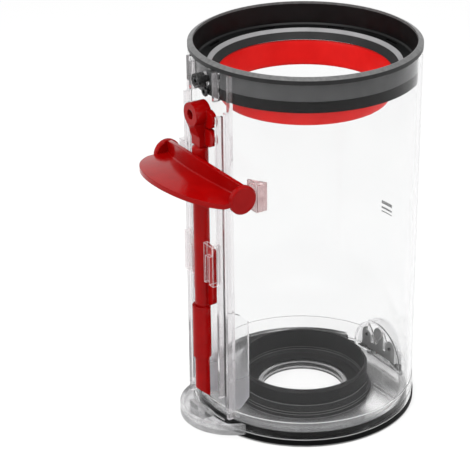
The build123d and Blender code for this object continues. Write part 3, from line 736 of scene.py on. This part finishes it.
def clip_plastic(name, dark, light, ior, edge_width, alpha=1.0):
    """Clear plastic between two tints, with painted highlights along its edges, of that width in
    millimetres.
    """
    material, tree, shader, place = new_finish(name)
    clouds = grain(tree, place, size=5)
    edges = edge_mask(tree, edge_width)
    edge_highlight = shade(tree, clouds, (0.88, 0.86, 0.86), (0.94, 0.92, 0.92))
    tint = choose(tree, edges, shade(tree, clouds, dark, light), edge_highlight)
    paint(tree, shader, tint, spread(tree, grain(tree, place, size=2), 0.0, 0.05))
    shader.inputs["Coat Weight"].default_value = CLIP_COAT
    if alpha < 1:
        tree.links.new(masked_value(tree, edges, alpha, 1.0), shader.inputs["Alpha"])
    make_clear(tree, shader, masked_value(tree, edges, 1.0, EDGE_CLARITY), ior, lamp_share=0.92)
    return material


# the pink tint is painted light from the red handle and rod
clip_finish = clip_plastic(
    "clear_clip_plastic", (0.92, 0.86, 0.86), (0.97, 0.92, 0.92), ior=1.05, edge_width=0.7, alpha=0.62,
)
dress(clip_finish, "guide_bracket_right", "guide_bracket_left")

# %% [markdown]
# The pieces below are modelled here. A mesh could be written out point by point, but a maker
# works from simple forms: each piece starts from a primitive that is shaped in edit mode, gets
# its form from modifiers that are applied, and ends with its place in its mesh. These helpers
# take up the steps that every piece needs.

# %% Helpers for pieces
MERGE_DISTANCE = 0.001 * MM
SMOOTH_ANGLE = math.radians(35)


def select_only(piece):
    """This piece alone is selected and active."""
    bpy.ops.object.select_all(action="DESELECT")
    piece.select_set(True)
    bpy.context.view_layer.objects.active = piece


def shape_by(piece, kind, **settings):
    """A modifier of that kind with these settings, applied to the piece."""
    select_only(piece)
    modifier = piece.modifiers.new(kind.lower(), kind)
    for setting, value in settings.items():
        setattr(modifier, setting, value)
    bpy.ops.object.modifier_apply(modifier=modifier.name)


def settle(piece, name, material):
    """The piece's place goes into its mesh, its faces turn outwards and it gets its finish."""
    select_only(piece)
    bpy.ops.object.transform_apply(location=True, rotation=True, scale=True)
    bpy.ops.object.mode_set(mode="EDIT")
    bpy.ops.mesh.select_all(action="SELECT")
    bpy.ops.mesh.remove_doubles(threshold=MERGE_DISTANCE)
    bpy.ops.mesh.normals_make_consistent(inside=False)
    bpy.ops.object.mode_set(mode="OBJECT")
    bpy.ops.object.shade_smooth_by_angle(angle=SMOOTH_ANGLE)
    piece.name = piece.data.name = name
    piece.data.materials.clear()
    piece.data.materials.append(material)
    print(name, "has", len(piece.data.polygons), "faces")


print("edges below", round(math.degrees(SMOOTH_ANGLE)), "degrees are shaded smooth")

# %% [markdown]
# The wiper is one soft sheet that curves from its seat to its free edge. The model has two cones
# there, which meet in a crease, so a smooth one takes their place. It could be spun from a drawn
# profile, but an open cone needs less: it is widened at its waist, thickened and rounded by
# subdivision.

# %% Wiper
WIPER_TOP, WIPER_FOOT = 183.8, 170.6
WIPER_TOP_RADIUS, WIPER_FOOT_RADIUS = 43.6, 41.0
WIPER_STEPS = 96
WIPER_SKIN = 1.7
WAIST_REACH = 1.0
WAIST_SCALE = 1.016

bpy.ops.object.select_all(action="DESELECT")
bpy.ops.mesh.primitive_cone_add(
    vertices=WIPER_STEPS, radius1=WIPER_FOOT_RADIUS * MM, radius2=WIPER_TOP_RADIUS * MM,
    depth=(WIPER_TOP - WIPER_FOOT) * MM, end_fill_type="NOTHING",
    location=(0, 0, (WIPER_TOP + WIPER_FOOT) / 2 * MM),
)
wiper = bpy.context.object
bpy.ops.object.mode_set(mode="EDIT")
bpy.ops.mesh.select_mode(type="VERT")
bpy.ops.mesh.subdivide(number_cuts=1)
bpy.ops.mesh.select_all(action="DESELECT")
bpy.ops.object.mode_set(mode="OBJECT")
for corner in wiper.data.vertices:
    corner.select = abs(corner.co.z) < WAIST_REACH * MM
bpy.ops.object.mode_set(mode="EDIT")
bpy.ops.transform.resize(value=(WAIST_SCALE, WAIST_SCALE, 1))
bpy.ops.object.mode_set(mode="OBJECT")
shape_by(wiper, "SOLIDIFY", thickness=WIPER_SKIN * MM, offset=1.0)
shape_by(wiper, "SUBSURF", levels=2, render_levels=2)
settle(wiper, "smooth_wiper", red_skin)
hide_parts("shroud_wiper")
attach(wiper, "bin")

# %% [markdown]
# Moulded ridges run round the cuff, inside and out. They catch the light and show as fine pale lines
# in the black rubber, so their rubber is painted lighter than the cuff's as a highlight. A bump would
# do from afar, but thin rings that sit half in the cuff's wall also hold up close by and in the mesh.
# Each ridge has its radius, its height and its thickness.

# %% Ridges on the cuff
RIDGES = (
    (34.75, 10.25, 0.22), (35.95, 6.65, 0.16), (36.3, 5.45, 0.16), (36.95, 3.5, 0.25),
    (32.6, 8.2, 0.16), (32.6, 6.9, 0.18),
)
RIDGE_STEPS, RIDGE_SIDES = 144, 8


def join_pieces(parts):
    """These parts made one piece."""
    bpy.ops.object.select_all(action="DESELECT")
    for part in parts:
        part.select_set(True)
    bpy.context.view_layer.objects.active = parts[0]
    bpy.ops.object.join()
    return bpy.context.object


rings = []
for radius, height, thickness in RIDGES:
    bpy.ops.object.select_all(action="DESELECT")
    bpy.ops.mesh.primitive_torus_add(
        major_radius=radius * MM, minor_radius=thickness * MM,
        major_segments=RIDGE_STEPS, minor_segments=RIDGE_SIDES, location=(0, 0, height * MM),
    )
    rings.append(bpy.context.object)
ridges = join_pieces(rings)
# painted highlight: the ridges' rubber is lighter than the cuff's
ridge_highlight_skin = rubber(
    "ridge_highlight_rubber", (0.07, 0.07, 0.071), (0.11, 0.11, 0.111), rough=(0.3, 0.45), gloss=0.4,
)
settle(ridges, "cuff_ridges", ridge_highlight_skin)
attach(ridges, "flap")

# %% [markdown]
# Low ribs stiffen the floor of the flap where it runs to the hinge. They lie straight across it,
# on both sides of the cuff, and draw fine bright lines in the floor. A bump could draw lines too,
# but only a real edge bends the light behind clear plastic, so each rib is a bar with rounded
# edges that sits a little way in the floor. Each has its ends and its two sides.

# %% Floor ribs
RIB_FOOT, RIB_TOP = 3.0, 4.0
RIBS = ((4.0, 25.0, 44.4, 45.2), (22.0, 39.0, 31.4, 32.2), (24.5, 41.0, 29.0, 29.6))
RIB_ROUNDING = 0.2
ROUNDING_STEPS = 2


def block(low, high):
    """A block between two corners in millimetres."""
    bpy.ops.object.select_all(action="DESELECT")
    bpy.ops.mesh.primitive_cube_add(size=1)
    bpy.ops.object.mode_set(mode="EDIT")
    bpy.ops.mesh.select_all(action="SELECT")
    bpy.ops.transform.resize(value=[(b - a) * MM for a, b in zip(low, high)])
    bpy.ops.transform.translate(value=[(a + b) / 2 * MM for a, b in zip(low, high)])
    bpy.ops.object.mode_set(mode="OBJECT")
    return bpy.context.object


ribs = []
for near, far, front, rear in RIBS:
    ribs.append(block((near, front, RIB_FOOT), (far, rear, RIB_TOP)))
    ribs.append(block((-far, front, RIB_FOOT), (-near, rear, RIB_TOP)))
floor_ribs = join_pieces(ribs)
shape_by(floor_ribs, "BEVEL", width=RIB_ROUNDING * MM, segments=ROUNDING_STEPS)
# the bright lines come partly from the ribs' real edges and partly from highlights painted along them
rib_finish = clip_plastic(
    "clear_rib_plastic", (0.8, 0.8, 0.8), (0.9, 0.9, 0.9), CLEAR_IOR, edge_width=0.4,
)
settle(floor_ribs, "floor_ribs", rib_finish)
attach(floor_ribs, "flap")

# %% [markdown]
# Slanted ribs stiffen the back of the hinge pocket and show as pale strokes in front of the
# bracket. They could be extruded from the pocket's face, but the wall's mesh stays as it is. So
# each is a slim bar that is turned to its slope and stands on that face. A rib is given by its
# two ends, across and up, and is made on both sides.

# %% Pocket ribs
POCKET_FACE = 50.0
STRUT_WIDTH, STRUT_DEPTH = 1.1, 0.9
STRUT_SEAT = 0.1
STRUTS = (((0.0, 12.5), (6.3, 22.4)), ((6.3, 22.4), (9.4, 17.0)))

struts = []
for foot, head in STRUTS:
    for side in (-1, 1):
        run, rise = side * (head[0] - foot[0]), head[1] - foot[1]
        half = math.hypot(run, rise) / 2
        strut = block(
            (-STRUT_WIDTH / 2, POCKET_FACE - STRUT_DEPTH, -half),
            (STRUT_WIDTH / 2, POCKET_FACE + STRUT_SEAT, half),
        )
        strut.rotation_euler.y = math.atan2(run, rise)
        strut.location = (side * (foot[0] + head[0]) / 2 * MM, 0, (foot[1] + head[1]) / 2 * MM)
        struts.append(strut)
pocket_ribs = join_pieces(struts)
# the pale strokes are partly real edges and partly painted highlights along them
settle(pocket_ribs, "pocket_ribs", rib_finish)
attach(pocket_ribs, "bin")

# %% [markdown]
# The return spring is wound from round wire and sits in a groove at the back of the rod. The
# packed one is rigid, so the rod would pass through it when pressed. A curve with a round bevel
# could make a new one, but a screw modifier needs no list of points: it winds a ring of wire
# upwards.

# %% Return spring
SPRING_FOOT, SPRING_TOP = 108.9, 132.7
SPRING_BACK = 61.05
SPRING_RADIUS = 1.55
SPRING_TURNS = 9
TURN_STEPS = 32
WIRE_RADIUS = 0.3
WIRE_SIDES = 12

bpy.ops.object.select_all(action="DESELECT")
bpy.ops.mesh.primitive_circle_add(vertices=WIRE_SIDES, radius=WIRE_RADIUS * MM)
coil = bpy.context.object
bpy.ops.object.mode_set(mode="EDIT")
bpy.ops.mesh.select_all(action="SELECT")
bpy.ops.transform.rotate(value=math.radians(90), orient_axis="X", center_override=(0, 0, 0))
bpy.ops.transform.translate(value=(SPRING_RADIUS * MM, 0, 0))
bpy.ops.object.mode_set(mode="OBJECT")
pitch = (SPRING_TOP - SPRING_FOOT - 2 * WIRE_RADIUS) / SPRING_TURNS
shape_by(
    coil, "SCREW", axis="Z", steps=TURN_STEPS, render_steps=TURN_STEPS,
    iterations=SPRING_TURNS, screw_offset=pitch * MM,
)
bpy.ops.object.mode_set(mode="EDIT")
bpy.ops.mesh.select_mode(type="EDGE")
bpy.ops.mesh.select_all(action="DESELECT")
bpy.ops.mesh.select_non_manifold()
bpy.ops.mesh.fill_holes(sides=0)
bpy.ops.object.mode_set(mode="OBJECT")
coil.location = (0, -SPRING_BACK * MM, (SPRING_FOOT + WIRE_RADIUS) * MM)
settle(coil, "return_spring", plated)
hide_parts("rod_spring")
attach(coil, "bin")
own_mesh(coil)

# %% [markdown]
# The clear block behind the handle's right drum is a thin-walled box, open below and moulded
# on the wall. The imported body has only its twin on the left, so the right one is made here. It
# could be put together from plates, but carving leaves one closed skin: a block is hollowed, and
# the wall's cylinder is cut from its back, so that it fits the wall.

# %% Right handle stop
STOP_LOW, STOP_HIGH = (27.2, -52.6, 131.6), (35.5, -44.0, 146.6)
STOP_WALL = 1.6
STOP_OVERRUN = 1.0
STOP_ROUNDING = 0.2
STOP_CORNER = math.radians(50)
WALL_RADIUS = 58.42
WALL_STEPS = 256


def carve(piece, cutter):
    """The cutter's form is taken out of the piece."""
    shape_by(piece, "BOOLEAN", operation="DIFFERENCE", object=cutter)
    bpy.data.objects.remove(cutter)


stop = block(STOP_LOW, STOP_HIGH)
hollow = block(
    (STOP_LOW[0] + STOP_WALL, STOP_LOW[1] + STOP_WALL, STOP_LOW[2] - STOP_OVERRUN),
    (STOP_HIGH[0] - STOP_WALL, STOP_HIGH[1] + STOP_OVERRUN, STOP_HIGH[2] - STOP_WALL),
)
carve(stop, hollow)
bpy.ops.object.select_all(action="DESELECT")
bpy.ops.mesh.primitive_cylinder_add(
    vertices=WALL_STEPS, radius=WALL_RADIUS * MM, depth=2 * (STOP_HIGH[2] - STOP_LOW[2]) * MM,
    location=(0, 0, (STOP_LOW[2] + STOP_HIGH[2]) / 2 * MM),
)
carve(stop, bpy.context.object)
shape_by(
    stop, "BEVEL", width=STOP_ROUNDING * MM, segments=ROUNDING_STEPS,
    limit_method="ANGLE", angle_limit=STOP_CORNER,
)
# the dark pink tint is painted for the red handle seen through the block, and its edges carry painted
# highlights
stop_finish = clip_plastic(
    "clear_stop_plastic", (0.45, 0.26, 0.26), (0.7, 0.52, 0.52), ior=1.3, edge_width=0.3,
)
settle(stop, "handle_stop_right", stop_finish)
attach(stop, "bin")

# %% [markdown]
# The level mark on the back of the wall is three bars of thin grey ink. A picture on the wall
# could show them, but it would blur close by. So they are arcs with sharp edges, cut from an open
# cylinder that hugs the wall and given the depth of a coat of ink. The arcs end at two turns
# about the bin's axis, in degrees.

# %% Level mark
MARK_BARS = ((92.8, 94.6), (90.0, 91.1), (88.05, 88.65))
MARK_FROM, MARK_TO = 89.25, 98.25
INK_RADIUS = 58.44
INK_DEPTH = 0.1
INK_STEPS = 720

bars = []
for foot, head in MARK_BARS:
    bpy.ops.object.select_all(action="DESELECT")
    bpy.ops.mesh.primitive_cylinder_add(
        vertices=INK_STEPS, radius=INK_RADIUS * MM, depth=(head - foot) * MM,
        end_fill_type="NOTHING", location=(0, 0, (foot + head) / 2 * MM),
    )
    bar = bpy.context.object
    bpy.ops.object.mode_set(mode="EDIT")
    bpy.ops.mesh.select_mode(type="FACE")
    bpy.ops.mesh.select_all(action="DESELECT")
    bpy.ops.object.mode_set(mode="OBJECT")
    for face in bar.data.polygons:
        turn = math.degrees(math.atan2(face.center.y, face.center.x))
        face.select = not MARK_FROM < turn < MARK_TO
    bpy.ops.object.mode_set(mode="EDIT")
    bpy.ops.mesh.delete(type="FACE")
    bpy.ops.object.mode_set(mode="OBJECT")
    shape_by(bar, "SOLIDIFY", thickness=INK_DEPTH * MM, offset=1.0)
    bars.append(bar)
mark = join_pieces(bars)
ink = rubber("grey_ink", (0.2, 0.2, 0.2), (0.27, 0.27, 0.27), rough=(0.4, 0.55), gloss=0.3)
settle(mark, "level_mark", ink)
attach(mark, "bin")
